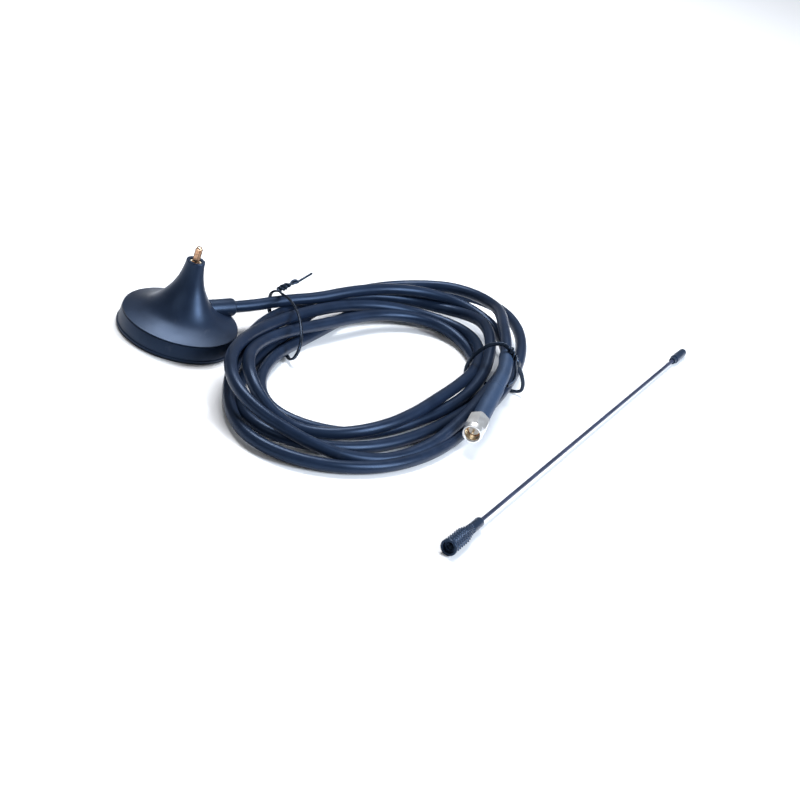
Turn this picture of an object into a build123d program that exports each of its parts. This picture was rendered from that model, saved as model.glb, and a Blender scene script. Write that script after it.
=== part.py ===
"""Magnetic-mount mobile antenna: a flared base, its coiled coaxial cable and the unscrewed whip.

Origin: centre of the base's bottom face.  +Z up, +X to the right, +Y away.  Millimetres.
"""
from build123d import *
from math import cos, pi, radians, sin, sqrt, tan
import os

# ---------------------------------------------------------------- driving dimensions

# magnetic base
BASE_FOOT_RADIUS = 24.5
BASE_EDGE_RADIUS = 23.4
PAD_THICKNESS = 0.8
BASE_EDGE_HEIGHT = 7.8
NECK_HEIGHT = 33.3
NECK_RADIUS = 3.8
SHELL_WALL = 1.7
STUD_RADIUS = 1.5
STUD_SHANK_RADIUS = 1.7
STUD_TOP = 39.2
STUD_BOTTOM = 13.0
COLLAR_RADIUS = 2.3
COLLAR_HEIGHT = 4.0
COLLAR_RECESS = 0.7

# cable entry on the base
ENTRY_AZIMUTH = 47.0
ENTRY_HEIGHT = 10.5
ENTRY_REACH = 24.5
BOSS_RADIUS = 3.7
BUSHING_RADIUS = 3.05

# coaxial cable, 50 ohm, 5 mm class
CABLE_RADIUS = 2.5
BRAID_RADIUS = 1.9
DIELECTRIC_RADIUS = 1.45
CONDUCTOR_RADIUS = 0.45

# coil of cable lying on the floor
COIL_HEIGHT = 8.0
TIE_WIRE_RADIUS = 0.5
TIE_GROOVE_RADIUS = 0.8

# plug on the cable's end
PLUG_MOUTH = (124.0, -16.5, 8.8)
PLUG_YAW = 82.9
PLUG_TILT = 7.5
NUT_ACROSS_FLATS = 8.0
NUT_LENGTH = 11.0
COLLAR_LENGTH = 3.0
SLEEVE_END = 44.0

# whip
WHIP_MOUTH_XY = (126.5, -95.1)
WHIP_YAW = 70.8
WHIP_LENGTH = 258.0
FERRULE_RADIUS = 3.25
FERRULE_NECK_RADIUS = 2.0
KNURL_LENGTH = 12.0
TAPER_LENGTH = 7.0
FERRULE_NECK_LENGTH = 8.3
THREAD_MINOR_RADIUS = 1.25
ROD_RADIUS = 0.8
TIP_RADIUS = 1.95
TIP_LENGTH = 14.3
FLOOR_GAP = 0.05

# ---------------------------------------------------------------- small helpers


def cylinder(radius, bottom, top):
    """A cylinder on the Z axis between two heights."""
    return Pos(0, 0, bottom) * Cylinder(
        radius, top - bottom, align=(Align.CENTER, Align.CENTER, Align.MIN))


def ring(outer, inner, bottom, top):
    """A round sleeve on the Z axis between two heights."""
    return cylinder(outer, bottom, top) - cylinder(inner, bottom, top)


def rounded_tube(points, radius):
    """A tube along straight runs joined by the largest tangent arcs that the runs allow."""
    vectors = [Vector(*p) for p in points]
    radii = []
    for a, b, c in zip(vectors, vectors[1:], vectors[2:]):
        turn = radians((b - a).get_angle(c - b))
        shorter = min((b - a).length, (c - b).length)
        radii.append(0.45 * shorter / tan(turn / 2))
    path = FilletPolyline(*vectors, radius=radii)
    start = Plane(origin=path @ 0, z_dir=path % 0)
    tube = sweep(start * Circle(radius), path=path)
    section = pi * radius ** 2
    print("tube length %.1f mm, volume ratio %.4f, bend radii in diameters:" % (
        path.length, tube.volume / (section * path.length)),
        [round(r / (2 * radius), 1) for r in radii])
    return tube


def entry_direction():
    """Unit vector along which the cable leaves the base."""
    angle = radians(ENTRY_AZIMUTH)
    return Vector(cos(angle), sin(angle), 0)


def at_entry(solid):
    """Moves a solid from the Z axis to the cable entry's axis, its Z = 0 at the base's axis."""
    return Plane(origin=(0, 0, ENTRY_HEIGHT), z_dir=entry_direction()).location * solid


def plug_direction():
    """Unit vector from the plug's mouth back along its cable."""
    yaw = radians(PLUG_YAW)
    tilt = radians(PLUG_TILT)
    return Vector(cos(tilt) * cos(yaw), cos(tilt) * sin(yaw), sin(tilt))


def at_plug(solid):
    """Moves a solid from the Z axis to the plug's axis, its Z = 0 at the plug's mouth."""
    return Plane(origin=PLUG_MOUTH, z_dir=plug_direction()).location * solid


def whip_direction():
    """Unit vector from the ferrule's mouth to the tip, both resting on the floor."""
    yaw = radians(WHIP_YAW)
    drop = (FERRULE_RADIUS - TIP_RADIUS) / WHIP_LENGTH
    flat = sqrt(1 - drop ** 2)
    return Vector(flat * cos(yaw), flat * sin(yaw), -drop)


def at_whip(solid):
    """Moves a solid from the Z axis to the whip's axis, its Z = 0 at the ferrule's mouth."""
    origin = (*WHIP_MOUTH_XY, FERRULE_RADIUS + FLOOR_GAP)
    return Plane(origin=origin, z_dir=whip_direction()).location * solid


# ---------------------------------------------------------------- magnetic base

# the flared skin, as (height above the edge, radius), from the edge up to the neck
FLARE = [(0, 23.4), (1.6, 18.7), (3.7, 14.4), (6.8, 11.1), (11.1, 8.05), (14.8, 6.1),
         (18.7, 4.8), (22.7, 4.02), (25.5, NECK_RADIUS)]


def flare_edge(inset):
    """The flare's meridian, moved inwards and down by an inset."""
    points = [(radius - inset, BASE_EDGE_HEIGHT + rise - 0.6 * inset) for rise, radius in FLARE]
    return Spline(*points)


def shell_outside():
    """Rim wall, flare and neck as one revolved body."""
    flare = flare_edge(0)
    outline = Polyline(
        flare @ 1, (0, NECK_HEIGHT), (0, PAD_THICKNESS), (BASE_FOOT_RADIUS, PAD_THICKNESS),
        (BASE_EDGE_RADIUS, BASE_EDGE_HEIGHT))
    return revolve(Plane.XZ * make_face([flare, outline]), Axis.Z)


def shell_hollow():
    """The room inside the shell for magnet, plate and wiring."""
    room_radius = BASE_EDGE_RADIUS - SHELL_WALL
    floor_top = BASE_EDGE_HEIGHT - 0.6 * SHELL_WALL
    full = revolve(Plane.XZ * make_face([
        flare_edge(SHELL_WALL),
        Polyline(flare_edge(SHELL_WALL) @ 1, (0, (flare_edge(SHELL_WALL) @ 1).Y),
                 (0, floor_top), (room_radius, floor_top)),
    ]), Axis.Z)
    flare_room = full & cylinder(BASE_FOOT_RADIUS, PAD_THICKNESS, ROOM_TOP)
    return flare_room + cylinder(room_radius, PAD_THICKNESS, floor_top + 0.01)


# height where the room under the flare narrows into the neck's bore
ROOM_TOP = 22.0
POST_AZIMUTHS = [ENTRY_AZIMUTH + 60, ENTRY_AZIMUTH + 180, ENTRY_AZIMUTH + 300]
POST_PITCH_RADIUS = 9.3
POST_RADIUS = 2.0
PLATE_BOTTOM = 5.2
PLATE_TOP = 6.3
SCREW_RADIUS = 1.0


def at_posts(solid):
    """Copies of a solid at the three screw posts."""
    return [Rot(0, 0, azimuth) * Pos(POST_PITCH_RADIUS, 0, 0) * solid for azimuth in POST_AZIMUTHS]


def base_shell():
    """Moulded cover with its rim, flare, neck, cable boss and screw posts."""
    boss = at_entry(cylinder(BOSS_RADIUS, 11.0, ENTRY_REACH))
    end_edge = boss.edges().sort_by(Axis((0, 0, 0), entry_direction()))[-1]
    outside = shell_outside() + fillet(end_edge, 0.7)
    shell = outside - shell_hollow()
    for post in at_posts(ring(POST_RADIUS, SCREW_RADIUS, PLATE_TOP, 13.0)):
        shell = shell + (post & shell_outside())
    shell = shell - at_entry(cylinder(BUSHING_RADIUS, 6.0, ENTRY_REACH))
    return shell - cylinder(COLLAR_RADIUS, 18.0, NECK_HEIGHT)


def foot_pad():
    """Thin rubber disc under the base."""
    return fillet(cylinder(BASE_FOOT_RADIUS - 0.3, 0, PAD_THICKNESS).edges().sort_by(Axis.Z)[0], 0.25)


def ring_magnet():
    """Ferrite ring that holds the base to a steel roof."""
    return ring(21.1, 12.0, PAD_THICKNESS, PLATE_BOTTOM)


def steel_plate():
    """Disc above the magnet: it closes the magnetic path and is the antenna's ground."""
    plate = ring(21.6, 3.0, PLATE_BOTTOM, PLATE_TOP)
    for hole in at_posts(cylinder(SCREW_RADIUS + 0.1, PLATE_BOTTOM, PLATE_TOP)):
        plate = plate - hole
    return plate


def plate_screws():
    """Three pan-head screws from the plate up into the shell's posts."""
    screw = cylinder(1.9, PLATE_BOTTOM - 1.3, PLATE_BOTTOM) + cylinder(
        SCREW_RADIUS, PLATE_BOTTOM, PLATE_TOP + 5.0)
    screw = screw - Pos(0, 0, PLATE_BOTTOM - 1.3) * Box(2.6, 0.5, 1.0)
    return Compound(children=at_posts(screw))


def stud_collar():
    """Plated bush at the top of the neck, a little below its rim."""
    top = NECK_HEIGHT - COLLAR_RECESS
    return ring(COLLAR_RADIUS, STUD_SHANK_RADIUS, top - COLLAR_HEIGHT, top)


def stud_insulator():
    """Plastic sleeve that keeps the stud apart from the ground."""
    return ring(COLLAR_RADIUS, STUD_SHANK_RADIUS, 15.3, NECK_HEIGHT - COLLAR_RECESS - COLLAR_HEIGHT)


def whip_stud():
    """Brass M3 stud that the whip screws onto, with a thicker shank inside the neck."""
    stud = cylinder(STUD_RADIUS, STUD_BOTTOM, STUD_TOP)
    stud = chamfer(stud.edges().sort_by(Axis.Z)[-1], 0.3)
    return stud + cylinder(STUD_SHANK_RADIUS, STUD_BOTTOM, NECK_HEIGHT - COLLAR_RECESS)


def contact_strip():
    """Copper strip from the stud's foot down to the cable's centre conductor."""
    foot = ENTRY_HEIGHT + CONDUCTOR_RADIUS
    leg = Pos(0, 0, (foot + STUD_BOTTOM) / 2) * Box(1.6, 0.4, STUD_BOTTOM - foot)
    head = cylinder(1.3, STUD_BOTTOM - 0.4, STUD_BOTTOM)
    return Rot(0, 0, ENTRY_AZIMUTH) * (leg + head)


# ---------------------------------------------------------------- cable inside the base

JACKET_START = 11.5
BRAID_START = 8.0
DIELECTRIC_START = 3.5


def cable_bushing():
    """Rubber bush between the cable and the boss."""
    return at_entry(ring(BUSHING_RADIUS, CABLE_RADIUS, 17.0, ENTRY_REACH))


def entry_jacket():
    """Jacketed cable inside the boss."""
    return at_entry(cylinder(CABLE_RADIUS, JACKET_START, ENTRY_REACH))


def entry_braid():
    """Bared braid."""
    return at_entry(cylinder(BRAID_RADIUS, BRAID_START, JACKET_START))


def entry_dielectric():
    """Bared dielectric."""
    return at_entry(cylinder(DIELECTRIC_RADIUS, DIELECTRIC_START, BRAID_START))


def entry_conductor():
    """Bared centre conductor, soldered under the contact strip."""
    return at_entry(cylinder(CONDUCTOR_RADIUS, -0.8, DIELECTRIC_START))


def ground_clamp():
    """Tinned strap round the braid with a leg down to the steel plate."""
    strap_radius = BRAID_RADIUS + 0.6
    strap = at_entry(ring(strap_radius, BRAID_RADIUS, 8.6, 11.2))
    leg_height = ENTRY_HEIGHT - BRAID_RADIUS - 0.1 - PLATE_TOP
    leg = Pos(10.1, 0, PLATE_TOP + leg_height / 2) * Box(2.6, 1.6, leg_height)
    foot = Pos(10.1, 0, PLATE_TOP + 0.3) * Box(4.0, 3.6, 0.6)
    return strap + Rot(0, 0, ENTRY_AZIMUTH) * (leg + foot)


# ---------------------------------------------------------------- free cable

# from the boss to the coil, after a first run on the boss's axis
LEAD_FIRST_RUN = 11.0
LEAD_ROUTE = [(33.8, 38.9, 10.8), (43.9, 53.7, 11.0), (52.7, 66.6, 11.0)]
# where the lead joins the other strands, as part of the coil's solid
LEAD_MERGE = [(52.7, 66.6, 11.0), (61.5, 79.5, 11.0), (74.0, 91.6, 9.0), (89.7, 99.9, 7.0)]
# from the coil to the plug's sleeve, which adds the last point
TAIL_ROUTE = [(96.6, 108.0, 10.5), (110.0, 107.4, 12.8), (121.0, 100.0, 15.0), (126.8, 87.0, 17.0),
              (128.4, 72.0, 18.4), (128.6, 56.0, 18.4)]
TAIL_LAST_RUN = 9.0
# where the tail leaves the other strands, as part of the coil's solid
TAIL_MERGE = [(73.1, 98.0, 6.0), (82.4, 108.65, 8.06), (96.6, 108.0, 10.5)]
# the bundle of strands, seen from above
COIL_OUTSIDE = [(25.5, -18.5), (28.7, -42.6), (43.5, -62.9), (64.8, -70.3), (87.0, -63.8), (108.2, -41.6), (126.7, -5.6),
                (137.8, 37.0), (139.7, 75.9), (132.3, 103.6), (112.9, 116.6), (90.7, 112.9), (64.8, 93.4), (39.8, 61.1), (27.8, 33.3)]
COIL_INSIDE = [(43.5, -13.0), (48.1, -28.7), (62.0, -31.5), (79.5, -28.7), (96.2, -11.1), (109.2, 14.8), (117.5, 46.2),
               (117.5, 69.4), (104.5, 82.3), (85.1, 78.6), (64.8, 59.2), (48.1, 27.8)]


def cable_lead():
    """Free cable between the base and the coil."""
    axis_height = Vector(0, 0, ENTRY_HEIGHT)
    exit_point = axis_height + entry_direction() * ENTRY_REACH
    first_corner = exit_point + entry_direction() * LEAD_FIRST_RUN
    return rounded_tube([tuple(exit_point), tuple(first_corner), *LEAD_ROUTE], CABLE_RADIUS)


def cable_tail():
    """Free cable between the coil and the plug."""
    mouth = Vector(*PLUG_MOUTH)
    sleeve_end = mouth + plug_direction() * SLEEVE_END
    last_corner = mouth + plug_direction() * (SLEEVE_END + TAIL_LAST_RUN)
    return rounded_tube([*TAIL_ROUTE, tuple(last_corner), tuple(sleeve_end)], CABLE_RADIUS)


def coil_band():
    """The bundle of strands as one oval band lying on the floor."""
    outside = make_face(Spline(*COIL_OUTSIDE, periodic=True))
    inside = make_face(Spline(*COIL_INSIDE, periodic=True))
    band = extrude(outside - inside, COIL_HEIGHT)
    return band


def merging_strand(points):
    """A strand that rises out of the band."""
    return rounded_tube(points, CABLE_RADIUS)


def cable_coil():
    """Outer shape of the coiled cable, with the strands that join and leave it."""
    saddle = at_plug(cylinder(5.1, -4.0, SLEEVE_END + 6.0))
    coil = coil_band() - saddle
    coil = coil + merging_strand(LEAD_MERGE) + merging_strand(TAIL_MERGE)
    for groove in (tie_loop(LEFT_TIE, TIE_GROOVE_RADIUS), tie_loop(RIGHT_TIE, TIE_GROOVE_RADIUS)):
        coil = coil - groove
    return coil


# ---------------------------------------------------------------- twist ties

# centre above the floor, bearing of the loop's long side, half width, top, knot's place along the top
LEFT_TIE = {"centre": (39.8, 27.3), "bearing": -62.0, "half_width": 20.4, "top": 15.2, "knot": -13.9}
RIGHT_TIE = {"centre": (128.3, 48.1), "bearing": 0.0, "half_width": 13.5, "top": 21.3, "knot": 4.2}
LEFT_TIE_END = [(33.8, 44.9, 18.0), (37.0, 50.0, 19.5), (40.7, 56.4, 20.5)]
RIGHT_TIE_END = [(134.1, 43.0, 20.0), (136.9, 38.9, 14.5), (139.0, 36.1, 8.0)]


def tie_loop(tie, wire_radius):
    """The wire's closed loop round the bundle, in an upright plane."""
    width = 2 * tie["half_width"]
    height = tie["top"] - TIE_WIRE_RADIUS
    plane = Plane(origin=(*tie["centre"], TIE_WIRE_RADIUS + height / 2),
                  x_dir=(cos(radians(tie["bearing"])), sin(radians(tie["bearing"])), 0),
                  z_dir=(-sin(radians(tie["bearing"])), cos(radians(tie["bearing"])), 0))
    path = plane * RectangleRounded(width, height, 0.42 * height).wire()
    start = Plane(origin=path @ 0, z_dir=path % 0)
    return sweep(start * Circle(wire_radius), path=path)


def knot_point(place):
    """Centre of the tie's knot, on top of its loop."""
    bearing = radians(place["bearing"])
    x, y = place["centre"]
    return (x + place["knot"] * cos(bearing), y + place["knot"] * sin(bearing), place["top"] + 0.3)


def tie(place, end_route):
    """A plastic-covered wire round the bundle, its two ends twisted together and left standing."""
    knot = knot_point(place)
    piece = tie_loop(place, TIE_WIRE_RADIUS) + Pos(*knot) * Sphere(2.4 * TIE_WIRE_RADIUS)
    return piece + rounded_tube([knot, *end_route], 1.5 * TIE_WIRE_RADIUS)


# ---------------------------------------------------------------- plug

BODY_FACE = 3.2
SHOULDER = 4.6
FLANGE_START = NUT_LENGTH + 0.3
FLANGE_END = 14.0
CRIMP_END = 22.0
FERRULE_END = 24.0
OUTER_SLEEVE_END = 36.5
NUT_BORE = 3.0
NECK_BORE = 2.75
THREAD_END = 6.0
RING_GROOVE = (8.0, 9.0)
SLEEVE_BORE = 3.2


def coupling_nut():
    """Hexagon nut with a round threaded collar in front; it turns freely on the body."""
    hexagon = extrude(RegularPolygon(NUT_ACROSS_FLATS / 2, 6, major_radius=False), NUT_LENGTH - COLLAR_LENGTH)
    corner = NUT_ACROSS_FLATS / 2 / cos(radians(30))
    bevel = Pos(0, 0, (NUT_LENGTH - COLLAR_LENGTH) / 2) * chamfer(
        Cylinder(corner, NUT_LENGTH - COLLAR_LENGTH).edges().filter_by(GeomType.CIRCLE), 0.35)
    hexagon = Pos(0, 0, COLLAR_LENGTH) * (hexagon & bevel)
    collar = cylinder(NUT_ACROSS_FLATS / 2, 0, COLLAR_LENGTH)
    collar = chamfer(collar.edges().sort_by(Axis.Z)[0], 0.3)
    bore = cylinder(NUT_BORE, 0, THREAD_END) + cylinder(NECK_BORE, THREAD_END, NUT_LENGTH)
    bore = bore + cylinder(3.1, *RING_GROOVE)
    lead_in = Pos(0, 0, 0.3) * Cone(3.45, NUT_BORE, 0.6)
    return at_plug(hexagon + collar - bore - lead_in)


def snap_ring():
    """Split ring that keeps the nut on the body."""
    middle = sum(RING_GROOVE) / 2
    split = Pos(2.6, 0, middle) * Box(1.2, 0.8, 1.0)
    return at_plug(ring(3.0, 2.3, RING_GROOVE[0] + 0.2, RING_GROOVE[1] - 0.2) - split)


def connector_body():
    """Turned body: front sleeve, ring groove, rear flange and crimp tube."""
    body = cylinder(2.3, BODY_FACE, SHOULDER) + cylinder(2.67, SHOULDER, FLANGE_START)
    body = body - ring(3.0, 2.3, RING_GROOVE[0] + 0.1, RING_GROOVE[1] - 0.1)
    body = body + cylinder(SLEEVE_BORE, FLANGE_START, FLANGE_END) + cylinder(2.2, FLANGE_END, CRIMP_END - 0.5)
    return at_plug(body - cylinder(2.05, BODY_FACE, 12.0) - cylinder(1.5, 12.0, CRIMP_END))


def plug_gasket():
    """Silicone washer in front of the body's shoulder."""
    return at_plug(ring(2.9, 2.3, SHOULDER - 0.8, SHOULDER))


def connector_dielectric():
    """White insulator round the centre pin."""
    return at_plug(ring(2.05, CONDUCTOR_RADIUS, BODY_FACE, 12.0))


def center_pin():
    """Gold-plated pin."""
    pin = cylinder(CONDUCTOR_RADIUS, 1.0, 15.0)
    return at_plug(fillet(pin.edges().sort_by(Axis.Z)[0], 0.3))


def tail_dielectric():
    """Cable dielectric inside the crimp tube."""
    return at_plug(cylinder(DIELECTRIC_RADIUS, 15.0, CRIMP_END))


def tail_braid():
    """Cable braid opened over the crimp tube."""
    return at_plug(ring(2.6, 2.2, FLANGE_END, CRIMP_END - 0.5))


def crimp_ferrule():
    """Metal tube crimped over the braid."""
    return at_plug(ring(3.1, 2.6, FLANGE_END, FERRULE_END))


def tail_jacket():
    """Jacketed cable inside the sleeves."""
    return at_plug(cylinder(CABLE_RADIUS, CRIMP_END, SLEEVE_END))


def heatshrink_outer():
    """Adhesive-lined sleeve over the crimp, slightly tapered."""
    sleeve = Pos(0, 0, (FLANGE_START + OUTER_SLEEVE_END) / 2) * Cone(
        3.65, 3.5, OUTER_SLEEVE_END - FLANGE_START)
    return at_plug(sleeve - cylinder(SLEEVE_BORE, FLANGE_START, OUTER_SLEEVE_END))


def heatshrink_inner():
    """Thinner sleeve over the cable behind the crimp."""
    front = cylinder(SLEEVE_BORE, FERRULE_END, OUTER_SLEEVE_END)
    rear = Pos(0, 0, (OUTER_SLEEVE_END + SLEEVE_END) / 2) * Cone(SLEEVE_BORE, 3.05, SLEEVE_END - OUTER_SLEEVE_END)
    return at_plug(front + rear - cylinder(CABLE_RADIUS, FERRULE_END, SLEEVE_END))


# ---------------------------------------------------------------- whip


def whip_ferrule():
    """Knurled grip with a threaded socket, tapering to the rod."""
    taper_start = KNURL_LENGTH
    taper_end = taper_start + TAPER_LENGTH
    end = taper_end + FERRULE_NECK_LENGTH
    body = cylinder(FERRULE_RADIUS, 0, taper_start)
    body = body + Pos(0, 0, (taper_start + taper_end) / 2) * Cone(
        FERRULE_RADIUS, FERRULE_NECK_RADIUS, TAPER_LENGTH)
    neck = cylinder(FERRULE_NECK_RADIUS, taper_end, end)
    body = body + fillet(neck.edges().sort_by(Axis.Z)[-1], 0.6)
    body = chamfer(body.edges().sort_by(Axis.Z)[0], 0.25)
    socket = cylinder(COLLAR_RADIUS, 0, 1.6) + cylinder(THREAD_MINOR_RADIUS, 1.6, 8.6)
    return at_whip(body - socket - cylinder(ROD_RADIUS, end - 12.0, end))


def whip_rod():
    """Spring-steel rod."""
    start = KNURL_LENGTH + TAPER_LENGTH + FERRULE_NECK_LENGTH - 12.0
    return at_whip(cylinder(ROD_RADIUS, start, WHIP_LENGTH - 4.0))


def tip_collar():
    """Small turned collar in front of the tip cap."""
    start = WHIP_LENGTH - TIP_LENGTH - 2.4
    return at_whip(ring(1.5, ROD_RADIUS, start, start + 2.4))


def whip_tip_cap():
    """Round-nosed cap on the rod's end."""
    cap = cylinder(TIP_RADIUS, WHIP_LENGTH - TIP_LENGTH, WHIP_LENGTH)
    cap = fillet(cap.edges().sort_by(Axis.Z)[-1], TIP_RADIUS * 0.9)
    cap = chamfer(cap.edges().sort_by(Axis.Z)[0], 0.3)
    return at_whip(cap - cylinder(ROD_RADIUS, 0, WHIP_LENGTH - 4.0))


# ---------------------------------------------------------------- nodes

NODES = {
    "base_shell": base_shell,
    "foot_pad": foot_pad,
    "ring_magnet": ring_magnet,
    "steel_plate": steel_plate,
    "plate_screws": plate_screws,
    "stud_collar": stud_collar,
    "stud_insulator": stud_insulator,
    "whip_stud": whip_stud,
    "contact_strip": contact_strip,
    "cable_bushing": cable_bushing,
    "entry_jacket": entry_jacket,
    "entry_braid": entry_braid,
    "entry_dielectric": entry_dielectric,
    "entry_conductor": entry_conductor,
    "ground_clamp": ground_clamp,
    "cable_lead": cable_lead,
    "cable_coil": cable_coil,
    "cable_tail": cable_tail,
    "left_tie": lambda: tie(LEFT_TIE, LEFT_TIE_END),
    "right_tie": lambda: tie(RIGHT_TIE, RIGHT_TIE_END),
    "coupling_nut": coupling_nut,
    "snap_ring": snap_ring,
    "connector_body": connector_body,
    "plug_gasket": plug_gasket,
    "connector_dielectric": connector_dielectric,
    "center_pin": center_pin,
    "tail_dielectric": tail_dielectric,
    "tail_braid": tail_braid,
    "crimp_ferrule": crimp_ferrule,
    "tail_jacket": tail_jacket,
    "heatshrink_outer": heatshrink_outer,
    "heatshrink_inner": heatshrink_inner,
    "whip_ferrule": whip_ferrule,
    "whip_rod": whip_rod,
    "tip_collar": tip_collar,
    "whip_tip_cap": whip_tip_cap,
}

os.makedirs("parts", exist_ok=True)
for name, make in NODES.items():
    export_step(make(), "parts/%s.step" % name)
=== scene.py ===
"""Looks for a magnetic-mount antenna: flared base, coiled coaxial cable, coax plug and separate whip."""

import math

import bmesh
import bpy
from mathutils import Euler, Matrix, Vector


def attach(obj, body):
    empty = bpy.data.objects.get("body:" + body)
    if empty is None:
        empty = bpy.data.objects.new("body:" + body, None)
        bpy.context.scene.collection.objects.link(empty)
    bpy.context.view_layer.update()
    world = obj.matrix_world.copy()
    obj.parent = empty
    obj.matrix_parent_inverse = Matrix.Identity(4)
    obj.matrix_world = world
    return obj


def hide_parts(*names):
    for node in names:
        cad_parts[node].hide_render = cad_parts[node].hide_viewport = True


bl_info = {
    "name": "Magnetic Antenna",
    "version": (1, 0, 0),
    "blender": (4, 5, 0),
    "location": "3D View > Sidebar > Antenna",
    "description": "Builds the visual pieces and finishes of a magnetic-mount antenna",
    "category": "Object",
}

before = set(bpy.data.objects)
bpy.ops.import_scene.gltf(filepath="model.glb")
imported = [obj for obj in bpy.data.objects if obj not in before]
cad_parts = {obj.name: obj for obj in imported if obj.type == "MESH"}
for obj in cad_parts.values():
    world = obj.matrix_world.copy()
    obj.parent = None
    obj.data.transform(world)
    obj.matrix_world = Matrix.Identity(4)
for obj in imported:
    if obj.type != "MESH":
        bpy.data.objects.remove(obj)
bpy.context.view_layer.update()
MM = 0.001

BASE = "base_and_cable"
NUT = "nut"
WHIP = "whip"

# ---------------------------------------------------------------- shared frame

ENTRY_AZIMUTH = 47.0
ENTRY_HEIGHT = 10.5
ENTRY_REACH = 24.5
PLUG_MOUTH = (124.0, -16.5, 8.8)
PLUG_YAW = 82.9
PLUG_TILT = 7.5
WHIP_MOUTH = (126.5, -95.1, 3.3)
WHIP_YAW = 70.8
WHIP_LENGTH = 258.0
WHIP_DROP = 1.3 / WHIP_LENGTH


def axis_frame(origin, direction):
    """Matrix that carries the Z axis, in millimetres, onto an axis of the object, in metres."""
    turn = Vector(direction).to_track_quat("Z", "Y").to_matrix().to_4x4()
    return Matrix.Translation(Vector(origin) * MM) @ turn @ Matrix.Scale(MM, 4)


def upright_frame():
    """The base's own axis."""
    return Matrix.Scale(MM, 4)


def entry_direction():
    """Unit vector along which the cable leaves the base."""
    angle = math.radians(ENTRY_AZIMUTH)
    return Vector((math.cos(angle), math.sin(angle), 0))


def entry_frame():
    """The cable entry's axis, from the base's axis outwards."""
    return axis_frame((0, 0, ENTRY_HEIGHT), entry_direction())


def plug_direction():
    """Unit vector from the plug's mouth back along its cable."""
    yaw = math.radians(PLUG_YAW)
    tilt = math.radians(PLUG_TILT)
    flat = math.cos(tilt)
    return Vector((flat * math.cos(yaw), flat * math.sin(yaw), math.sin(tilt)))


def plug_frame():
    """The plug's axis, from its mouth backwards."""
    return axis_frame(PLUG_MOUTH, plug_direction())


def whip_frame():
    """The whip's axis, from the grip's mouth to the tip."""
    yaw = math.radians(WHIP_YAW)
    flat = math.sqrt(1 - WHIP_DROP ** 2)
    return axis_frame(WHIP_MOUTH, (flat * math.cos(yaw), flat * math.sin(yaw), -WHIP_DROP))


# ---------------------------------------------------------------- settings


def colour(name, text, value):
    """A colour setting."""
    return bpy.props.FloatVectorProperty(
        name=name, description=text, default=value, size=3, min=0, max=1, subtype="COLOR")


def length(name, text, value):
    """A length setting, in metres."""
    return bpy.props.FloatProperty(
        name=name, description=text, default=value * MM, min=0, unit="LENGTH")


def number(name, text, value):
    """A plain number setting."""
    return bpy.props.FloatProperty(name=name, description=text, default=value)


def count(name, text, value):
    """A whole number setting."""
    return bpy.props.IntProperty(name=name, description=text, default=value, min=1)


class AntennaColours(bpy.types.PropertyGroup):
    """Colours of the finishes."""

    shell: colour("Shell", "Moulded cover of the base", (0.0065, 0.012, 0.026))
    jacket: colour("Jacket", "Cable jacket", (0.0065, 0.0125, 0.028))
    sleeve: colour("Sleeve", "Heat-shrink sleeves", (0.016, 0.029, 0.058))
    tie: colour("Tie", "Covering of the wire ties", (0.004, 0.006, 0.010))
    whip: colour("Whip", "Black coating of the whip", (0.011, 0.019, 0.036))
    nickel: colour("Nickel", "Plating of the nut", (0.95, 0.95, 0.95))
    gold: colour("Gold", "Plating of the contacts", (0.86, 0.68, 0.44))
    brass: colour("Brass", "Threaded stud", (0.66, 0.45, 0.31))


class AntennaSizes(bpy.types.PropertyGroup):
    """Sizes of the visual details."""

    cable: length("Cable", "Diameter of the cable", 5.0)
    stud_pitch: length("Stud pitch", "Pitch of the stud's thread", 0.5)
    nut_pitch: length("Nut pitch", "Pitch of the nut's thread", 0.706)
    tie_width: length("Tie width", "Width of the flat wire tie", 1.7)
    tie_thickness: length("Tie thickness", "Thickness of the flat wire tie", 0.95)
    knurl_starts: count("Knurl starts", "Diamonds round the grip", 12)
    knurl_depth: length("Knurl depth", "Depth of the knurl's grooves", 0.55)


class AntennaStage(bpy.types.PropertyGroup):
    """Floor, light and camera."""

    floor: colour("Floor", "Colour of the floor", (0.86, 0.86, 0.87))
    key_power: bpy.props.FloatProperty(
        name="Key power", description="Power of the overhead soft light", default=14.0, unit="POWER")
    sky: number("Sky", "Brightness of the surroundings", 0.2)
    view_angle: bpy.props.FloatProperty(
        name="View angle", description="Camera's angle of view", default=math.radians(23.5),
        subtype="ANGLE")
    elevation: bpy.props.FloatProperty(
        name="Elevation", description="Camera's angle above the floor", default=math.radians(26.806),
        subtype="ANGLE")
    roll: bpy.props.FloatProperty(
        name="Roll", description="Camera's turn about its own axis", default=math.radians(-19.009),
        subtype="ANGLE")
    distance: length("Distance", "From the camera to the point looked at", 775.6)


def colours():
    """The scene's colour settings."""
    return bpy.context.scene.antenna_colours


def sizes():
    """The scene's size settings."""
    return bpy.context.scene.antenna_sizes


# ---------------------------------------------------------------- mesh helpers


def between(values, place):
    """Value at a place along evenly spaced values, on a smooth curve through them."""
    last = len(values) - 1
    i = min(int(place), last - 1)
    f = place - i
    a, b, c, d = (values[min(max(k, 0), last)] for k in (i - 1, i, i + 1, i + 2))
    return b + 0.5 * f * (c - a + f * (2 * a - 5 * b + 4 * c - d + f * (3 * (b - c) + d - a)))


def smooth_line(points, steps):
    """Points of a smooth curve through a few points."""
    axes = list(zip(*points))
    stops = (len(points) - 1) * steps
    return [tuple(between(axis, k / steps) for axis in axes) for k in range(stops + 1)]


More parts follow.
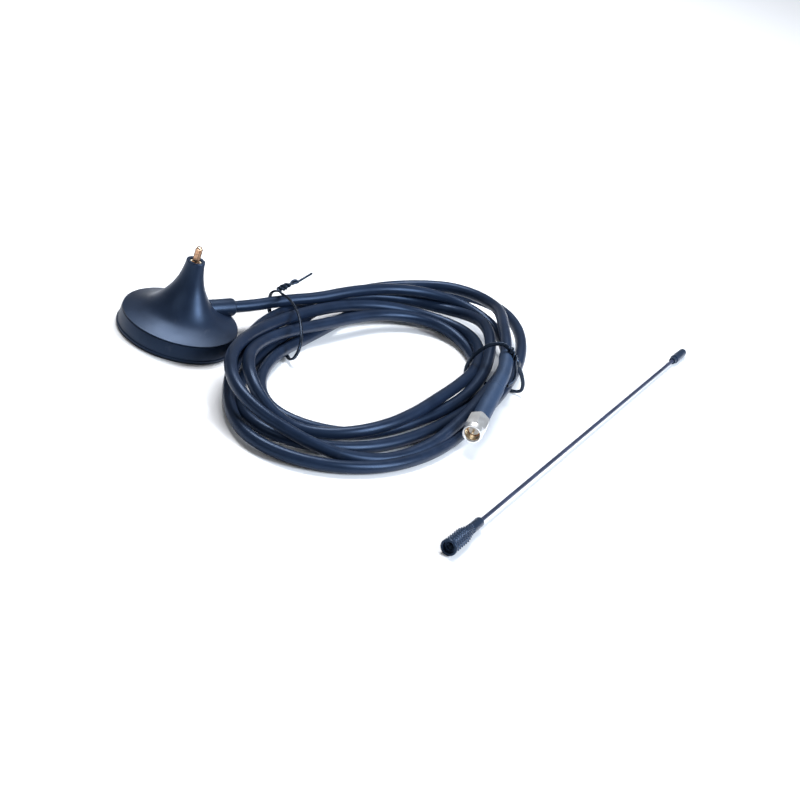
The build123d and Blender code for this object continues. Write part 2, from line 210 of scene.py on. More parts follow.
def finish_piece(bm, name, place, body, material, sharp=35.0):
    """Turns a bmesh in millimetres into a piece of the object."""
    bmesh.ops.transform(bm, matrix=place, verts=bm.verts)
    mesh = bpy.data.meshes.new(name)
    bm.to_mesh(mesh)
    bm.free()
    mesh.shade_smooth()
    mesh.set_sharp_from_angle(angle=math.radians(sharp))
    piece = bpy.data.objects.new(name, mesh)
    bpy.context.scene.collection.objects.link(piece)
    mesh.materials.append(material)
    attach(piece, body)
    return piece


def add_outline(bm, outline, closed=True):
    """A line of edges in the XZ half-plane from (radius, height) pairs."""
    verts = [bm.verts.new((radius, 0, height)) for radius, height in outline]
    pairs = list(zip(verts, verts[1:]))
    if closed:
        pairs.append((verts[-1], verts[0]))
    edges = [bm.edges.new(pair) for pair in pairs]
    return verts + edges


def spin_outline(bm, outline, steps, closed=True):
    """Turns an outline once round the Z axis."""
    made = add_outline(bm, outline, closed)
    bmesh.ops.spin(
        bm, geom=made, cent=(0, 0, 0), axis=(0, 0, 1), angle=math.tau, steps=steps, use_merge=True)
    bmesh.ops.remove_doubles(bm, verts=bm.verts, dist=0.0005)
    bmesh.ops.recalc_face_normals(bm, faces=bm.faces)


def turned(outline, steps=96, closed=True):
    """A bmesh turned from an outline; an open outline starts and ends on the axis."""
    bm = bmesh.new()
    spin_outline(bm, outline, steps, closed)
    return bm


def helical_rib(profile, pitch, start, end, steps=32):
    """A bmesh of a closed rib that winds round the Z axis, as the ridge of a screw thread."""
    bm = bmesh.new()
    stops = round((end - start) / pitch * steps)
    made = add_outline(bm, [(radius, start + height) for radius, height in profile])
    bmesh.ops.spin(
        bm, geom=made, cent=(0, 0, 0), axis=(0, 0, 1), dvec=(0, 0, pitch / steps),
        angle=math.tau * stops / steps, steps=stops)
    rims = [edge for edge in bm.edges if edge.is_boundary]
    bmesh.ops.holes_fill(bm, edges=rims, sides=0)
    bmesh.ops.recalc_face_normals(bm, faces=bm.faces)
    return bm


def thread_ridge(root, crest, pitch, foot=1.0, flat=(0.42, 0.6)):
    """Section of a thread's ridge; its foot and its flat top are given as shares of the pitch."""
    return [(root, 0), (root, foot * pitch), (crest, flat[1] * pitch), (crest, flat[0] * pitch)]


def joined(*parts):
    """One bmesh from several, each given alone or with the matrix that places it."""
    whole = bmesh.new()
    for part in parts:
        bm, place = part if isinstance(part, tuple) else (part, Matrix.Identity(4))
        bmesh.ops.transform(bm, matrix=place, verts=bm.verts)
        mesh = bpy.data.meshes.new("part")
        bm.to_mesh(mesh)
        bm.free()
        whole.from_mesh(mesh)
        bpy.data.meshes.remove(mesh)
    return whole


# ---------------------------------------------------------------- node helpers


def add_node(tree, kind, values=None, **settings):
    """A shader node with some of its inputs set."""
    node = tree.nodes.new(kind)
    for name, value in settings.items():
        setattr(node, name, value)
    for name, value in (values or {}).items():
        node.inputs[name].default_value = value
    return node


def join(tree, *pairs):
    """Links outputs to inputs."""
    for source, target in pairs:
        tree.links.new(source, target)


def remap(tree, source, low, high, to_low, to_high):
    """A value moved from one range to another."""
    node = add_node(tree, "ShaderNodeMapRange", {
        "From Min": low, "From Max": high, "To Min": to_low, "To Max": to_high})
    join(tree, (source, node.inputs["Value"]))
    return node.outputs["Result"]


def new_group(name, inputs, outputs):
    """An empty node group with its sockets; returns the tree, its input node and its output node."""
    tree = bpy.data.node_groups.new(name, "ShaderNodeTree")
    for socket, kind, default in inputs:
        made = tree.interface.new_socket(socket, in_out="INPUT", socket_type="NodeSocket" + kind)
        if default is not None:
            made.default_value = default
    for socket, kind in outputs:
        tree.interface.new_socket(socket, in_out="OUTPUT", socket_type="NodeSocket" + kind)
    return tree, tree.nodes.new("NodeGroupInput"), tree.nodes.new("NodeGroupOutput")


def moulded_group():
    """Uneven colour, uneven gloss and a fine pebbled surface, as moulded plastic has."""
    tree, start, end = new_group("Moulded Surface", [
        ("Vector", "Vector", None), ("Color", "Color", (0.02, 0.02, 0.02, 1)),
        ("Bloom", "Color", (0.05, 0.05, 0.05, 1)), ("Roughness", "Float", 0.4),
        ("Patch Scale", "Float", 90.0), ("Grain Scale", "Float", 2600.0),
    ], [("Color", "Color"), ("Roughness", "Float"), ("Height", "Float")])
    patches = add_node(tree, "ShaderNodeTexNoise", {"Detail": 4.0, "Roughness": 0.6})
    grain = add_node(tree, "ShaderNodeTexNoise", {"Detail": 3.0, "Roughness": 0.55})
    mix = add_node(tree, "ShaderNodeMix", data_type="RGBA")
    gloss = add_node(tree, "ShaderNodeMath", operation="MULTIPLY")
    join(tree, (start.outputs["Vector"], patches.inputs["Vector"]),
         (start.outputs["Vector"], grain.inputs["Vector"]),
         (start.outputs["Patch Scale"], patches.inputs["Scale"]),
         (start.outputs["Grain Scale"], grain.inputs["Scale"]),
         (remap(tree, patches.outputs["Fac"], 0.35, 0.75, 0.0, 1.0), mix.inputs["Factor"]),
         (start.outputs["Color"], mix.inputs["A"]),
         (start.outputs["Bloom"], mix.inputs["B"]),
         (mix.outputs["Result"], end.inputs["Color"]),
         (start.outputs["Roughness"], gloss.inputs[0]),
         (remap(tree, patches.outputs["Fac"], 0.3, 0.7, 0.86, 1.16), gloss.inputs[1]),
         (gloss.outputs["Value"], end.inputs["Roughness"]),
         (grain.outputs["Fac"], end.inputs["Height"]))
    return tree


def scuff_group():
    """Sparse fine rubbed marks."""
    tree, start, end = new_group("Scuffs", [
        ("Vector", "Vector", None), ("Scale", "Float", 200.0), ("Amount", "Float", 0.3),
    ], [("Mask", "Float")])
    stretch = add_node(tree, "ShaderNodeMapping", {
        "Scale": (1.0, 0.25, 1.0), "Rotation": (0.3, 0.5, 0.6)})
    marks = add_node(tree, "ShaderNodeTexNoise", {"Detail": 5.0, "Roughness": 0.7})
    areas = add_node(tree, "ShaderNodeTexNoise", {"Scale": 70.0, "Detail": 2.0})
    both = add_node(tree, "ShaderNodeMath", operation="MULTIPLY")
    scaled = add_node(tree, "ShaderNodeMath", operation="MULTIPLY")
    join(tree, (start.outputs["Vector"], stretch.inputs["Vector"]),
         (stretch.outputs["Vector"], marks.inputs["Vector"]),
         (start.outputs["Scale"], marks.inputs["Scale"]),
         (start.outputs["Vector"], areas.inputs["Vector"]),
         (remap(tree, marks.outputs["Fac"], 0.58, 0.72, 0.0, 1.0), both.inputs[0]),
         (remap(tree, areas.outputs["Fac"], 0.48, 0.65, 0.0, 1.0), both.inputs[1]),
         (both.outputs["Value"], scaled.inputs[0]),
         (start.outputs["Amount"], scaled.inputs[1]),
         (scaled.outputs["Value"], end.inputs["Mask"]))
    return tree


def turned_group():
    """Fine rings left by a lathe tool along the Z axis, in metres."""
    tree, start, end = new_group("Turned Marks", [
        ("Vector", "Vector", None), ("Rings", "Float", 9000.0),
    ], [("Height", "Float"), ("Tone", "Float")])
    split = add_node(tree, "ShaderNodeSeparateXYZ")
    rings = add_node(tree, "ShaderNodeTexNoise", {"Scale": 1.0, "Detail": 2.0}, noise_dimensions="1D")
    along = add_node(tree, "ShaderNodeMath", operation="MULTIPLY")
    stain = add_node(tree, "ShaderNodeTexNoise", {"Scale": 350.0, "Detail": 4.0})
    join(tree, (start.outputs["Vector"], split.inputs["Vector"]),
         (split.outputs["Z"], along.inputs[0]),
         (start.outputs["Rings"], along.inputs[1]),
         (along.outputs["Value"], rings.inputs["W"]),
         (start.outputs["Vector"], stain.inputs["Vector"]),
         (rings.outputs["Fac"], end.inputs["Height"]),
         (remap(tree, stain.outputs["Fac"], 0.3, 0.75, 0.0, 1.0), end.inputs["Tone"]))
    return tree


def weave_group():
    """Crossed wire bands round the Z axis, as in a cable's braid."""
    tree, start, end = new_group("Braid Weave", [
        ("Vector", "Vector", None), ("Bands", "Float", 8.0), ("Lay", "Float", 1600.0),
    ], [("Height", "Float")])
    split = add_node(tree, "ShaderNodeSeparateXYZ")
    angle = add_node(tree, "ShaderNodeMath", operation="ARCTAN2")
    around = add_node(tree, "ShaderNodeMath", operation="MULTIPLY")
    along = add_node(tree, "ShaderNodeMath", operation="MULTIPLY")
    join(tree, (start.outputs["Vector"], split.inputs["Vector"]),
         (split.outputs["Y"], angle.inputs[0]), (split.outputs["X"], angle.inputs[1]),
         (angle.outputs["Value"], around.inputs[0]), (start.outputs["Bands"], around.inputs[1]),
         (split.outputs["Z"], along.inputs[0]), (start.outputs["Lay"], along.inputs[1]))
    waves = []
    for operation in ("ADD", "SUBTRACT"):
        slope = add_node(tree, "ShaderNodeMath", operation=operation)
        wave = add_node(tree, "ShaderNodeMath", operation="SINE")
        join(tree, (around.outputs["Value"], slope.inputs[0]),
             (along.outputs["Value"], slope.inputs[1]), (slope.outputs["Value"], wave.inputs[0]))
        waves.append(wave)
    crossing = add_node(tree, "ShaderNodeMath", operation="MAXIMUM")
    join(tree, (waves[0].outputs["Value"], crossing.inputs[0]),
         (waves[1].outputs["Value"], crossing.inputs[1]),
         (crossing.outputs["Value"], end.inputs["Height"]))
    return tree


GROUPS = {
    "moulded": moulded_group(),
    "scuffs": scuff_group(),
    "turned": turned_group(),
    "weave": weave_group(),
}


def place_group(tree, kind, vector, values):
    """One of the shared groups in a material."""
    node = tree.nodes.new("ShaderNodeGroup")
    node.node_tree = GROUPS[kind]
    for name, value in values.items():
        node.inputs[name].default_value = value
    join(tree, (vector, node.inputs["Vector"]))
    return node


def object_vector(tree, place=None):
    """Object coordinates, turned so that Z runs along a piece's own axis where one is given."""
    source = tree.nodes.new("ShaderNodeTexCoord").outputs["Object"]
    if place is None:
        return source
    spot, turn, _ = place.inverted().decompose()
    mapping = add_node(tree, "ShaderNodeMapping", {
        "Location": spot * MM, "Rotation": turn.to_euler()})
    join(tree, (source, mapping.inputs["Vector"]))
    return mapping.outputs["Vector"]


def new_material(name):
    """A material and its Principled shader."""
    material = bpy.data.materials.new(name)
    material.use_nodes = True
    return material, material.node_tree, material.node_tree.nodes["Principled BSDF"]


def bump(tree, shader, height, distance, strength):
    """Feeds a height to the shader's normal."""
    node = add_node(tree, "ShaderNodeBump", {"Distance": distance, "Strength": strength})
    join(tree, (height, node.inputs["Height"]), (node.outputs["Normal"], shader.inputs["Normal"]))


def opaque(rgb, times=1.0):
    """A colour with full alpha, lighter or darker by a factor."""
    return (*[min(channel * times, 1.0) for channel in rgb], 1.0)


# ---------------------------------------------------------------- finishes


SCUFFS = 0.25
COOL_TINT = (0.42, 0.62, 1.0)
PLAIN_TINT = (1.0, 1.0, 1.0)
TOOL_RINGS = 9000.0
TOOL_RING_DEPTH = 0.00002


def plastic(name, rgb, roughness, bloom=1.8, grain=2600.0, depth=0.00004, tint=COOL_TINT, level=0.4):
    """Dark or light plastic, rubber or coating with grain, uneven gloss and rubbed marks."""
    material, tree, shader = new_material(name)
    vector = object_vector(tree)
    surface = place_group(tree, "moulded", vector, {
        "Color": opaque(rgb), "Bloom": opaque(rgb, bloom), "Roughness": roughness,
        "Grain Scale": grain})
    marks = place_group(tree, "scuffs", vector, {"Amount": SCUFFS})
    mix = add_node(tree, "ShaderNodeMix", data_type="RGBA")
    mix.inputs["B"].default_value = opaque([channel + 0.05 for channel in rgb], 1.4)
    join(tree, (marks.outputs["Mask"], mix.inputs["Factor"]),
         (surface.outputs["Color"], mix.inputs["A"]),
         (mix.outputs["Result"], shader.inputs["Base Color"]),
         (surface.outputs["Roughness"], shader.inputs["Roughness"]))
    shader.inputs["Specular Tint"].default_value = (*tint, 1.0)
    shader.inputs["Specular IOR Level"].default_value = level
    bump(tree, shader, surface.outputs["Height"], depth, 0.5)
    return material


def metal(name, rgb, roughness, place=None):
    """Turned or plated metal with tool rings and faint staining."""
    material, tree, shader = new_material(name)
    vector = object_vector(tree, place)
    marks = place_group(tree, "turned", vector, {"Rings": TOOL_RINGS})
    mix = add_node(tree, "ShaderNodeMix", data_type="RGBA")
    mix.inputs["A"].default_value = opaque(rgb)
    mix.inputs["B"].default_value = opaque(rgb, 0.8)
    join(tree, (marks.outputs["Tone"], mix.inputs["Factor"]),
         (mix.outputs["Result"], shader.inputs["Base Color"]),
         (remap(tree, marks.outputs["Tone"], 0, 1, 0.85 * roughness, 1.3 * roughness),
          shader.inputs["Roughness"]))
    shader.inputs["Metallic"].default_value = 1.0
    bump(tree, shader, marks.outputs["Height"], TOOL_RING_DEPTH, 0.5)
    return material


def braid(name, rgb, place):
    """Woven tinned wire, with painted shade in the hollows between the crossed bands."""
    material, tree, shader = new_material(name)
    vector = object_vector(tree, place)
    weave = place_group(tree, "weave", vector, {})
    mix = add_node(tree, "ShaderNodeMix", data_type="RGBA")
    # painted shade: the weave's low hollows get the wire's colour at 0.35, its high bands the full colour
    mix.inputs["A"].default_value = opaque(rgb, 0.35)
    mix.inputs["B"].default_value = opaque(rgb)
    join(tree, (remap(tree, weave.outputs["Height"], -0.3, 1, 0, 1), mix.inputs["Factor"]),
         (mix.outputs["Result"], shader.inputs["Base Color"]))
    shader.inputs["Metallic"].default_value = 1.0
    shader.inputs["Roughness"].default_value = 0.35
    bump(tree, shader, weave.outputs["Height"], 0.0001, 0.8)
    return material


FINISHES = {}


def finish_for(kind):
    """The material of a kind of surface, made the first time that it is asked for."""
    if kind not in FINISHES:
        FINISHES[kind] = make_finish(kind)
    return FINISHES[kind]


def make_finish(kind):
    """Makes one of the object's finishes."""
    c = colours()
    makers = {
        "shell": lambda: plastic("shell", c.shell, 0.4, bloom=1.4, level=0.42),
        "foot": lambda: plastic("foot", (0.012, 0.013, 0.016), 0.75, grain=1800.0, depth=0.0001),
        "bushing": lambda: plastic("bushing", (0.010, 0.012, 0.017), 0.6, depth=0.00008),
        "magnet": lambda: plastic("magnet", (0.035, 0.036, 0.040), 0.55, grain=900.0, depth=0.0001),
        "jacket": lambda: plastic(
            "jacket", c.jacket, 0.34, bloom=1.5, grain=1500.0, depth=0.00005, level=0.3),
        "sleeve": lambda: plastic(
            "sleeve", c.sleeve, 0.5, bloom=1.35, grain=700.0, depth=0.00012),
        "tie": lambda: plastic("tie", c.tie, 0.28, grain=1200.0, depth=0.00006),
        "whip": lambda: plastic("whip", c.whip, 0.3, bloom=1.5, grain=3200.0, level=0.25),
        "rod": lambda: plastic("rod", (0.020, 0.024, 0.045), 0.32, grain=1500.0),
        "insulator": lambda: plastic(
            "insulator", (0.78, 0.76, 0.72), 0.4, bloom=0.9, tint=PLAIN_TINT),
        "gasket": lambda: plastic("gasket", (0.45, 0.10, 0.06), 0.5, tint=PLAIN_TINT),
        "nickel": lambda: metal("nickel", c.nickel, 0.35, plug_frame()),
        "gold": lambda: metal("gold", c.gold, 0.2, plug_frame()),
        "ring": lambda: metal("ring", (0.62, 0.42, 0.25), 0.3, plug_frame()),
        "ferrule": lambda: metal("ferrule", (0.55, 0.55, 0.55), 0.34, plug_frame()),
        "collar": lambda: metal("collar", (0.95, 0.86, 0.68), 0.45, upright_frame()),
        "stud": lambda: metal("stud", c.brass, 0.25, upright_frame()),
        "copper": lambda: metal("copper", (0.75, 0.32, 0.18), 0.3),
        "plate": lambda: metal("plate", (0.50, 0.51, 0.54), 0.38),
        "strap": lambda: metal("strap", (0.66, 0.67, 0.69), 0.3),
        "entry_braid": lambda: braid("entry_braid", (0.62, 0.62, 0.64), entry_frame()),
        "plug_braid": lambda: braid("plug_braid", (0.62, 0.62, 0.64), plug_frame()),
    }
    return makers[kind]()


def refinish(node, kind):
    """Gives a CAD node one of the finishes."""
    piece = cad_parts[node]
    for slot in piece.material_slots:
        slot.material = finish_for(kind)
    return piece


# ---------------------------------------------------------------- base

EDGE_HEIGHT = 7.8
SKIN = 1.7
# the rim from the underside up, as (radius, height): foot lip, drafted wall and parting groove
RIM = [(24.3, 0.8), (24.5, 1.0), (24.5, 1.5), (24.3, 1.75), (24.05, 1.9), (23.6, 7.0), (23.5, 7.2),
       (23.15, 7.25), (23.1, 7.4), (23.15, 7.5), (23.4, 7.55), (23.42, 7.7)]
# the flared skin, as (height above the edge, radius)
FLARE = [(0, 23.4), (1.6, 18.7), (3.7, 14.4), (6.8, 11.1), (11.1, 8.05), (14.8, 6.1),
         (18.7, 4.8), (22.7, 4.02), (25.1, 3.8)]
NECK_LIP = [(3.76, 33.1), (3.62, 33.26), (3.4, 33.3), (2.6, 33.3), (2.4, 33.22), (2.3, 33.05)]
BORE_BOTTOM = (2.3, 22.0)
ROOM_CORNER = (SKIN + 20.0, 0.8)
COVER_STEPS = 144
BOSS_STEPS = 48
POST_STEPS = 24
BOSS = [(3.05, 12.0), (3.7, 12.0), (3.7, 23.8), (3.65, 24.1), (3.5, 24.35), (3.25, 24.5), (3.1, 24.45),
        (3.05, 24.3)]
POST = [(1.0, 6.3), (1.9, 6.3), (2.0, 6.4), (2.0, 13.2), (1.0, 13.2)]
POST_AZIMUTHS = (ENTRY_AZIMUTH + 60, ENTRY_AZIMUTH + 180, ENTRY_AZIMUTH + 300)
POST_DISTANCE = 9.3


def cover_outline():
    """Section of the base's cover, outside then inside."""
    outside = [(radius, EDGE_HEIGHT + rise) for rise, radius in smooth_line(FLARE, 7)]
    inside = [(radius - SKIN, EDGE_HEIGHT + rise - 0.6 * SKIN)
              for rise, radius in smooth_line(FLARE[:6], 3)]
    return [*RIM, *outside, *NECK_LIP, BORE_BOTTOM, *reversed(inside), ROOM_CORNER]


class ANTENNA_OT_base(bpy.types.Operator):
    """Moulds the base's cover and finishes the foot, magnet, plate and screws"""

    bl_idname = "antenna.base"
    bl_label = "Base"

    def execute(self, context):
        posts = []
        for azimuth in POST_AZIMUTHS:
            turn = Matrix.Rotation(math.radians(azimuth), 4, "Z")
            posts.append((turned(POST, POST_STEPS), turn @ Matrix.Translation((POST_DISTANCE, 0, 0))))
        entry = Matrix.Scale(1 / MM, 4) @ entry_frame()
        bm = joined(turned(cover_outline(), COVER_STEPS), (turned(BOSS, BOSS_STEPS), entry), *posts)
        cover = finish_piece(bm, "base_cover", upright_frame(), BASE, finish_for("shell"))
        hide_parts("base_shell")
        refinish("foot_pad", "foot")
        refinish("ring_magnet", "magnet")
        refinish("steel_plate", "plate")
        refinish("plate_screws", "plate")
        return {"FINISHED"}


STUD_CORE = [(0, 13.0), (1.5, 13.0), (1.7, 13.2), (1.7, 32.5), (1.6, 32.6), (1.25, 32.62),
             (1.22, 38.6), (1.05, 39.0), (0.8, 39.17), (0, 39.2)]
STUD_THREAD = (32.7, 38.2)
STUD_ROOT_RADIUS = 1.15
STUD_CREST_RADIUS = 1.5


class ANTENNA_OT_stud(bpy.types.Operator):
    """Turns the threaded stud and finishes the bush and sleeve that hold it"""

    bl_idname = "antenna.stud"
    bl_label = "Stud"

    def execute(self, context):
        pitch = sizes().stud_pitch / MM
        ridge = thread_ridge(STUD_ROOT_RADIUS, STUD_CREST_RADIUS, pitch)
        bm = joined(turned(STUD_CORE, 48, closed=False), helical_rib(ridge, pitch, *STUD_THREAD))
        stud = finish_piece(bm, "threaded_stud", upright_frame(), BASE, finish_for("stud"))
        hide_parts("whip_stud")
        refinish("stud_collar", "collar")
        refinish("stud_insulator", "insulator")
        refinish("contact_strip", "copper")
        return {"FINISHED"}


class ANTENNA_OT_entry(bpy.types.Operator):
    """Finishes the bush and the bared layers of the cable inside the base"""

    bl_idname = "antenna.entry"
    bl_label = "Cable entry"

    def execute(self, context):
        refinish("cable_bushing", "bushing")
        refinish("entry_jacket", "jacket")
        refinish("entry_braid", "entry_braid")
        refinish("entry_dielectric", "insulator")
        refinish("entry_conductor", "copper")
        refinish("ground_clamp", "strap")
        return {"FINISHED"}


# ---------------------------------------------------------------- cable

# from the boss to the coil; the last point was fitted by a separate script
LEAD_FIRST_RUN = 11.0
LEAD_ROUTE = [(33.8, 38.9, 10.8), (46.6, 51.9, 11.0)]
# the coil's mean oval, in plan
COIL_CENTRE = (75.9, 14.8)
COIL_LONG = 90.6
COIL_SHORT = 46.2
COIL_BEARING = 68.0
COIL_START = -60.0
STATIONS_PER_TURN = 8
POINTS_PER_TURN = 24
COIL_END_STATION = 40.4
SPLINE_INSET = 0.6
# Fitted by a separate least-squares script, then rounded and partly adjusted by hand.
# one row a turn: how far each strand lies outside the mean oval at every eighth of a turn
COIL_LANES = [
    [-7, -4, 1, -2, 4, -10, -7, -8],
    [-11, -16, -15, -14, -14, -22, -17, -12],
    [-21, -22, -17, -6, -7, -13, -15, -12],
    [-3, -6, -11, -8.5, -17, -28, -26, -17],
    [-12, 19, 12, 1, 8, -1, -10, -4],
    [5, 17, -2],
]
# and how high it lies, fitted in the same way
COIL_HEIGHTS = [
    [12.5, 10.5, 7.5, 9, 2.5, 9, 15.5, 11.5],
    [8, 4.5, 7, 8.5, 7, 4, 14, 8],
    [7, 5, 2.5, 2.5, 2.5, 3.5, 2.5, 2.5],
    [7.5, 6, 13.5, 6, 2.5, 3.5, 4, 3],
    [2.5, 5, 8.5, 2.5, 2.5, 3.5, 4, 9],
    [3.5, 13, 14.5],
]
# from the coil to the plug's sleeve; fitted in plan by the same script, except the last point
TAIL_ROUTE = [
    (94.0, 109.1, 10.5), (108.8, 106.6, 12.8), (118.6, 97.0, 15.0), (122.5, 86.2, 17.0),
    (124.8, 70.7, 18.4), (127.7, 56.0, 18.4),
]
TAIL_LAST_RUN = 9.0
SLEEVE_END = 44.0


def coil_point(station):
    """Centre of the strand at a place along the coil, counted in eighths of a turn."""
    lanes = [lane for turn in COIL_LANES for lane in turn]
    heights = [height for turn in COIL_HEIGHTS for height in turn]
    angle = math.radians(COIL_START + 360.0 * station / STATIONS_PER_TURN)
    spoke = Vector((COIL_LONG * math.cos(angle), -COIL_SHORT * math.sin(angle), 0))
    spoke += spoke.normalized() * (between(lanes, station) + SPLINE_INSET)
    spoke.rotate(Euler((0, 0, math.radians(COIL_BEARING))))
    height = max(between(heights, station), sizes().cable / MM / 2)
    return Vector((*COIL_CENTRE, 0)) + spoke + Vector((0, 0, height))


def cable_exit():
    """Where the cable leaves the boss, in millimetres."""
    return Vector((0, 0, ENTRY_HEIGHT)) + entry_direction() * ENTRY_REACH


def cable_route():
    """Control points of the whole free cable, in millimetres."""
    exit_point = cable_exit()
    first_corner = exit_point + entry_direction() * LEAD_FIRST_RUN
    mouth = Vector(PLUG_MOUTH)
    last_corner = mouth + plug_direction() * (SLEEVE_END + TAIL_LAST_RUN)
    sleeve_end = mouth + plug_direction() * SLEEVE_END
    step = STATIONS_PER_TURN / POINTS_PER_TURN
    coil = [coil_point(k * step) for k in range(int(COIL_END_STATION / step) + 1)]
    return [exit_point, first_corner, *LEAD_ROUTE, *coil, *TAIL_ROUTE, last_corner, sleeve_end]


def smooth_curve(name, points, radius):
    """A curve object with one open smooth spline through the pull of its control points."""
    curve = bpy.data.curves.new(name, "CURVE")
    curve.dimensions = "3D"
    curve.bevel_depth = radius
    curve.use_fill_caps = True
    spline = curve.splines.new("NURBS")
    spline.points.add(len(points) - 1)
    for target, point in zip(spline.points, points):
        target.co = (*(Vector(point) * MM), 1.0)
    spline.order_u = 3
    spline.use_endpoint_u = True
    piece = bpy.data.objects.new(name, curve)
    bpy.context.scene.collection.objects.link(piece)
    return piece


# ---------------------------------------------------------------- wire ties

# each tie's loop round the strands, from its knot over the top, down, under and back
LEFT_LOOP = [
    (33.0, 35.6, 15.0), (36.6, 33.0, 15.4), (41.0, 26.8, 15.2), (44.6, 20.0, 13.8), (47.2, 12.8, 11.8),
    (48.6, 7.4, 8.2), (47.8, 5.4, 3.6), (45.2, 8.5, 0.95), (40.0, 22.0, 0.9), (34.0, 36.0, 0.9),
    (29.8, 42.0, 1.8), (28.6, 40.6, 6.5), (28.2, 37.2, 12.3), (29.2, 36.2, 14.8),
]
LEFT_TWIST = ((30.9, 37.4, 15.4), (34.0, 41.6, 16.9))
LEFT_ENDS = ([(34.6, 43.4, 18.2), (36.2, 45.2, 18.6), (37.2, 45.4, 17.6)],
             [(35.6, 43.6, 17.2), (38.0, 47.8, 18.4), (40.8, 53.4, 20.0)])
RIGHT_LOOP = [
    (131.4, 44.2, 19.4), (134.4, 45.0, 15.6), (138.0, 47.2, 10.5), (140.6, 49.0, 4.5),
    (139.8, 49.2, 1.0), (128.5, 48.2, 0.9), (119.5, 46.6, 0.9), (115.4, 45.2, 2.6),
    (114.9, 44.0, 8.5), (116.2, 43.0, 13.6), (118.8, 43.4, 18.0), (122.2, 44.6, 20.8),
    (126.2, 44.8, 22.2),
]
RIGHT_TWIST = ((129.4, 44.8, 21.4), (133.6, 42.6, 18.0))
RIGHT_ENDS = ([(134.6, 42.4, 14.6), (135.7, 41.2, 11.2), (135.0, 38.8, 8.8), (133.4, 36.8, 8.4)],
              [(135.0, 43.6, 16.4), (135.6, 45.0, 15.2)])


TWIST_SPREAD = 0.55


def twisted_pair(start, end, radius, quarters=6):
    """Two strands wound round each other between two points."""
    axis = Vector(end) - Vector(start)
    turn = axis.to_track_quat("Z", "Y")
    pair = []
    for first in (0, math.pi):
        angles = [first + k * math.pi / 2 for k in range(quarters + 1)]
        offsets = [turn @ Vector((radius * math.cos(a), radius * math.sin(a), 0)) for a in angles]
        pair.append([Vector(start) + axis * k / quarters + offset for k, offset in enumerate(offsets)])
    return pair


def wire_tie(name, loop, twist, ends, node):
    """A flat plastic-covered wire bent round the strands, its ends twisted together."""
    width = sizes().tie_width
    thickness = sizes().tie_thickness
    one, other = twisted_pair(*twist, radius=TWIST_SPREAD * width / MM)
    points = [*reversed(ends[0]), *reversed(one), *loop, *other, *ends[1]]
    piece = smooth_curve(name, points, thickness / 2)
    piece.data.extrude = (width - thickness) / 2
    piece.data.resolution_u = 8
    piece.data.bevel_resolution = 3
    piece.data.materials.append(finish_for("tie"))
    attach(piece, BASE)
    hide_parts(node)
    return piece


# ---------------------------------------------------------------- plug

NUT_BORE = 3.0
NUT_THREAD = (0.7, 3.6)
NUT_ROOT_RADIUS = 3.1
NUT_CREST_RADIUS = NUT_BORE - 0.25
LINER = [(NUT_BORE - 0.015, 0.62), (NUT_BORE + 0.1, 0.62), (NUT_BORE + 0.1, 5.95), (NUT_BORE - 0.015, 5.95)]
# sections of the shrunk sleeves, which show the flange and the crimp beneath
OUTER_SLEEVE = [
    (3.1, 11.3), (3.48, 11.3), (3.6, 11.4), (3.65, 11.7), (3.65, 13.5), (3.6, 14.4), (3.54, 15.2),
    (3.54, 21.5), (3.58, 23.4), (3.52, 24.6), (3.48, 26.0), (3.48, 35.2), (3.55, 35.9), (3.52, 36.35),
    (3.42, 36.5), (3.1, 36.5)]
INNER_SLEEVE = [(2.5, 24.0), (3.1, 24.0), (3.1, 36.6), (3.14, 37.4), (3.12, 39.0), (3.05, 44.0), (2.5, 44.0)]
SLEEVE_BEND_RADIUS = 3.05
SLEEVE_STEPS = 64


class ANTENNA_OT_plug(bpy.types.Operator):
    """Cuts the coupling nut's thread and finishes the plug's contacts and crimp"""

    bl_idname = "antenna.plug"
    bl_label = "Plug"

    def execute(self, context):
        pitch = sizes().nut_pitch / MM
        ridge = thread_ridge(NUT_ROOT_RADIUS, NUT_CREST_RADIUS, pitch, foot=0.85, flat=(0.36, 0.52))
        bm = joined(turned(LINER, SLEEVE_STEPS), helical_rib(ridge, pitch, *NUT_THREAD, steps=48))
        thread = finish_piece(bm, "nut_thread", plug_frame(), NUT, finish_for("gold"))
        refinish("coupling_nut", "nickel")
        refinish("connector_body", "gold")
        refinish("center_pin", "gold")
        refinish("connector_dielectric", "insulator")
        refinish("plug_gasket", "gasket")
        refinish("snap_ring", "ring")
        refinish("crimp_ferrule", "ferrule")
        refinish("tail_braid", "plug_braid")
        refinish("tail_dielectric", "insulator")
        refinish("tail_jacket", "jacket")
        return {"FINISHED"}


class ANTENNA_OT_sleeves(bpy.types.Operator):
    """Shrinks the two sleeves over the crimp and the cable"""

    bl_idname = "antenna.sleeves"
    bl_label = "Sleeves"

    def execute(self, context):
        for name, outline, node in (("outer_sleeve", OUTER_SLEEVE, "heatshrink_outer"),
                                    ("inner_sleeve", INNER_SLEEVE, "heatshrink_inner")):
            sleeve = finish_piece(
                turned(outline, SLEEVE_STEPS), name, plug_frame(), BASE, finish_for("sleeve"))
            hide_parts(node)
        return {"FINISHED"}


